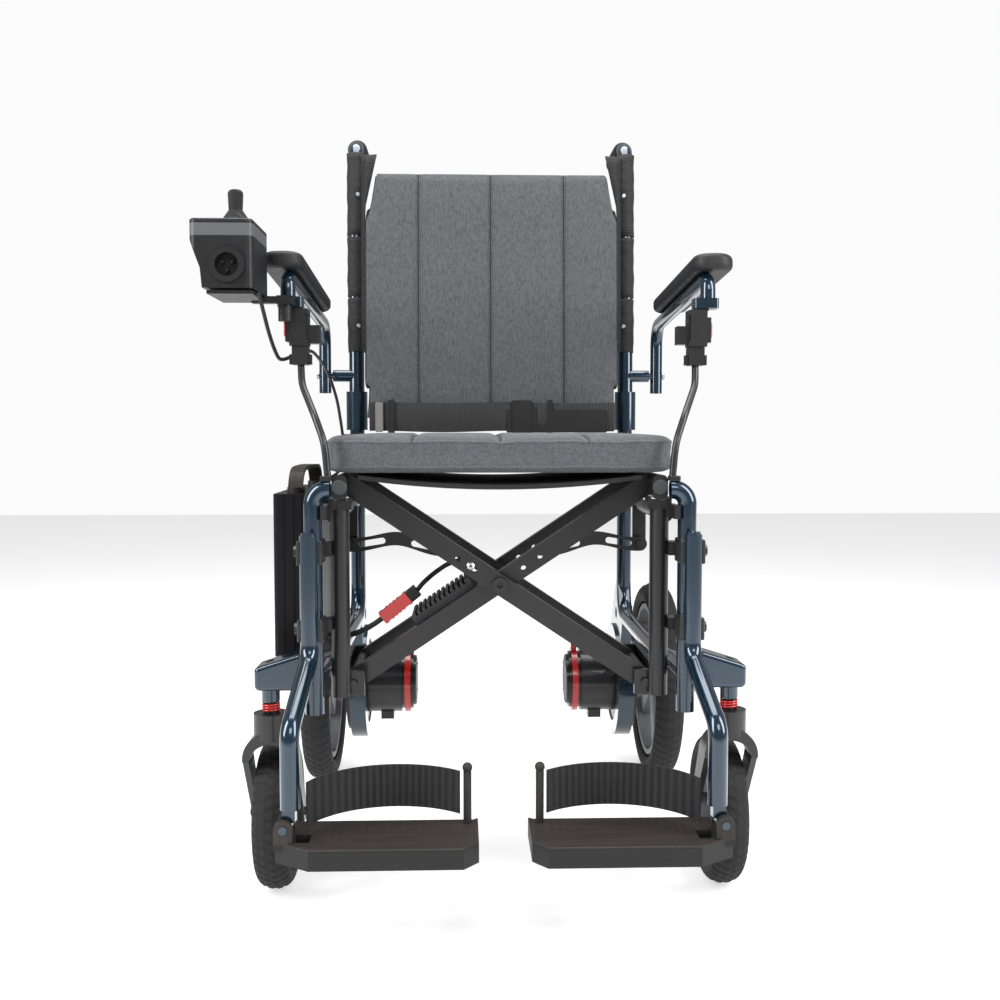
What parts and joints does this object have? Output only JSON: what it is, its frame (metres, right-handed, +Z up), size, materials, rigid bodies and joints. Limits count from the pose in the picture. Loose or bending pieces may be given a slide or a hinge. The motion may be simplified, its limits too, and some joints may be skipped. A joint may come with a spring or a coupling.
{
  "type": "power wheelchair",
  "caption": "Folding powered wheelchair with cross-braced tube frame, drive motors, sprung casters, joystick armrest and side battery.",
  "frame": {"origin": "on the floor, centred under the overall box", "axes": "+Z up, -Y the way the chair faces, +X to the right as seen from in front"},
  "size_m": [0.644, 0.787, 0.998],
  "materials": {
    "blue_tube": "gloss metallic",
    "black_tube": "satin powder coat",
    "footplate_plastic": "grained",
    "black_webbing": "woven",
    "zinc_steel": "zinc plated",
    "red_spring": "gloss",
    "tyre": "matt",
    "grey_rim": "satin",
    "motor_black": "satin",
    "red_plastic": "gloss",
    "black_rubber": "ribbed",
    "pad_black": "moulded skin",
    "black_plastic": "satin",
    "cast_aluminium": "finned casting, dark",
    "button_silver": "brushed",
    "grey_fabric": "heather weave",
    "battery_profile": "black anodised",
    "black_leather": "stitched",
    "cable_black": "smooth"
  },
  "bodies": {
    "left_frame": {"left_side_frame": "blue_tube", "left_inner_post": "black_tube", "left_hanger": "blue_tube", "left_back_cane": "blue_tube", "left_push_grip": "black_rubber", "left_arm_post": "black_tube", "left_motor": "motor_black", "battery": "battery_profile", "battery_handle": "black_leather", "battery_connector": "cable_black", "left_caster_spring": "red_spring", "left_heel_strap": "black_webbing", "back_upholstery": "grey_fabric", "lap_belt": "black_webbing", "joystick_cable": "cable_black"},
    "right_frame": {"right_side_frame": "blue_tube", "right_inner_post": "black_tube", "right_hanger": "blue_tube", "right_back_cane": "blue_tube", "right_push_grip": "black_rubber", "right_arm_post": "black_tube", "right_motor": "motor_black", "right_caster_spring": "red_spring", "right_heel_strap": "black_webbing"},
    "trailing_brace": {"trail_brace": "black_tube", "power_controller": "cast_aluminium"},
    "leading_brace": {"lead_brace": "black_tube", "brace_bolt": "zinc_steel"},
    "seat": {"seat_cushion": "grey_fabric", "seat_sling": "black_webbing"},
    "left_armrest": {"left_arm_tube": "blue_tube", "left_arm_pad": "pad_black", "left_arm_latch": "black_plastic", "controller_case": "black_plastic"},
    "right_armrest": {"right_arm_tube": "blue_tube", "right_arm_pad": "pad_black", "right_arm_latch": "black_plastic"},
    "gimbal": {"joystick_gimbal": "black_plastic"},
    "stick": {"joystick": "black_rubber"},
    "power_key": {"power_button": "button_silver"},
    "left_footrest": {"left_footplate": "footplate_plastic"},
    "left_suspension": {"left_caster_stem": "zinc_steel"},
    "left_caster": {"left_caster_fork": "black_tube"},
    "left_caster_wheel": {"left_caster_tyre": "tyre", "left_caster_rim": "grey_rim"},
    "left_drive_wheel": {"left_drive_tyre": "tyre", "left_drive_rim": "grey_rim"},
    "left_release": {"left_release_lever": "red_plastic"},
    "left_slotted_link": {"left_link": "zinc_steel"},
    "left_latch": {"left_latch_button": "red_plastic"},
    "right_footrest": {"right_footplate": "footplate_plastic"},
    "right_suspension": {"right_caster_stem": "zinc_steel"},
    "right_caster": {"right_caster_fork": "black_tube"},
    "right_caster_wheel": {"right_caster_tyre": "tyre", "right_caster_rim": "grey_rim"},
    "right_drive_wheel": {"right_drive_tyre": "tyre", "right_drive_rim": "grey_rim"},
    "right_release": {"right_release_lever": "red_plastic"},
    "right_slotted_link": {"right_link": "zinc_steel"},
    "right_latch": {"right_latch_button": "red_plastic"}
  },
  "joints": [
    {"name": "fold", "type": "hinge", "parent": "left_frame", "child": "trailing_brace", "pos_m": [-0.152, -0.1, 0.243], "axis": [0, -1, 0], "range_deg": [0, 35], "deforming": ["seat_cushion", "seat_sling", "back_upholstery", "lap_belt", "battery_connector"]},
    {"name": "cross", "type": "hinge", "parent": "trailing_brace", "child": "leading_brace", "pos_m": [0.024, -0.1, 0.3605], "axis": [0, -1, 0], "range_deg": [-70, 0]},
    {"name": "close", "type": "hinge", "parent": "leading_brace", "child": "right_frame", "pos_m": [0.2, -0.1, 0.243], "axis": [0, -1, 0], "range_deg": [0, 35]},
    {"name": "seat_level", "type": "hinge", "parent": "trailing_brace", "child": "seat", "pos_m": [0.2, -0.1, 0.478], "axis": [0, -1, 0], "range_deg": [-35, 0]},
    {"name": "left_link_swing", "type": "hinge", "parent": "left_frame", "child": "left_slotted_link", "pos_m": [-0.171, -0.02, 0.394], "axis": [0, -1, 0], "range_deg": [0, 56]},
    {"name": "right_link_swing", "type": "hinge", "parent": "right_frame", "child": "right_slotted_link", "pos_m": [0.219, -0.02, 0.394], "axis": [0, 1, 0], "range_deg": [0, 56]},
    {"name": "left_foot_flip", "type": "hinge", "parent": "left_frame", "child": "left_footrest", "pos_m": [-0.21, -0.358, 0.128], "axis": [0, -1, 0], "range_deg": [0, 80], "deforming": ["left_heel_strap"]},
    {"name": "right_foot_flip", "type": "hinge", "parent": "right_frame", "child": "right_footrest", "pos_m": [0.258, -0.358, 0.128], "axis": [0, 1, 0], "range_deg": [0, 80], "deforming": ["right_heel_strap"]},
    {"name": "left_spring_travel", "type": "slide", "parent": "left_frame", "child": "left_suspension", "axis": [0, 0, 1], "range_m": [0, 0.008], "stiffness_N_per_m": 20000, "springref_m": -0.01, "deforming": ["left_caster_spring"]},
    {"name": "left_swivel", "type": "hinge", "parent": "left_suspension", "child": "left_caster", "pos_m": [-0.242, -0.244, 0.18], "axis": [0, 0, 1], "range_deg": [-85, 150]},
    {"name": "left_caster_spin", "type": "hinge", "parent": "left_caster", "child": "left_caster_wheel", "pos_m": [-0.242, -0.194, 0.089], "axis": [1, 0, 0], "continuous": true},
    {"name": "left_drive_spin", "type": "hinge", "parent": "left_frame", "child": "left_drive_wheel", "pos_m": [-0.238, 0.241, 0.1525], "axis": [1, 0, 0], "continuous": true},
    {"name": "left_arm_lift", "type": "hinge", "parent": "left_frame", "child": "left_armrest", "pos_m": [-0.229, 0.2, 0.63], "axis": [-1, 0, 0], "range_deg": [0, 85], "deforming": ["joystick_cable"]},
    {"name": "right_spring_travel", "type": "slide", "parent": "right_frame", "child": "right_suspension", "axis": [0, 0, 1], "range_m": [0, 0.008], "stiffness_N_per_m": 20000, "springref_m": -0.01, "deforming": ["right_caster_spring"]},
    {"name": "right_swivel", "type": "hinge", "parent": "right_suspension", "child": "right_caster", "pos_m": [0.29, -0.244, 0.18], "axis": [0, 0, 1], "range_deg": [-150, 85]},
    {"name": "right_caster_spin", "type": "hinge", "parent": "right_caster", "child": "right_caster_wheel", "pos_m": [0.29, -0.194, 0.089], "axis": [1, 0, 0], "continuous": true},
    {"name": "right_drive_spin", "type": "hinge", "parent": "right_frame", "child": "right_drive_wheel", "pos_m": [0.286, 0.241, 0.1525], "axis": [1, 0, 0], "continuous": true},
    {"name": "right_arm_lift", "type": "hinge", "parent": "right_frame", "child": "right_armrest", "pos_m": [0.277, 0.2, 0.63], "axis": [-1, 0, 0], "range_deg": [0, 85]},
    {"name": "left_release_turn", "type": "hinge", "parent": "left_frame", "child": "left_release", "pos_m": [-0.126, 0.241, 0.1525], "axis": [1, 0, 0], "range_deg": [0, 25]},
    {"name": "left_latch_press", "type": "slide", "parent": "left_armrest", "child": "left_latch", "axis": [1, 0, 0], "range_m": [0, 0.002], "stiffness_N_per_m": 800, "springref_m": -0.002},
    {"name": "right_release_turn", "type": "hinge", "parent": "right_frame", "child": "right_release", "pos_m": [0.174, 0.241, 0.1525], "axis": [1, 0, 0], "range_deg": [0, 25]},
    {"name": "right_latch_press", "type": "slide", "parent": "right_armrest", "child": "right_latch", "axis": [-1, 0, 0], "range_m": [0, 0.002], "stiffness_N_per_m": 800, "springref_m": -0.002},
    {"name": "stick_pitch", "type": "hinge", "parent": "left_armrest", "child": "gimbal", "pos_m": [-0.281, -0.212, 0.776], "axis": [1, 0, 0], "range_deg": [-18, 18], "stiffness_Nm_per_rad": 0.3},
    {"name": "stick_roll", "type": "hinge", "parent": "gimbal", "child": "stick", "pos_m": [-0.281, -0.212, 0.776], "axis": [0, 1, 0], "range_deg": [-18, 18], "stiffness_Nm_per_rad": 0.3},
    {"name": "power_press", "type": "slide", "parent": "left_armrest", "child": "power_key", "axis": [0, 0, -1], "range_m": [0, 0.0008], "stiffness_N_per_m": 800, "springref_m": -0.0008}
  ],
  "couplings": [
    {"joint": "cross", "follows": "fold", "ratio": -2},
    {"joint": "close", "follows": "fold", "ratio": 1},
    {"joint": "seat_level", "follows": "fold", "ratio": -1},
    {"joint": "left_link_swing", "follows": "fold", "ratio": 1.59},
    {"joint": "right_link_swing", "follows": "fold", "ratio": 1.59},
    {"joint": "left_foot_flip", "follows": "fold", "ratio": 2.2857},
    {"joint": "right_foot_flip", "follows": "fold", "ratio": 2.2857}
  ]
}
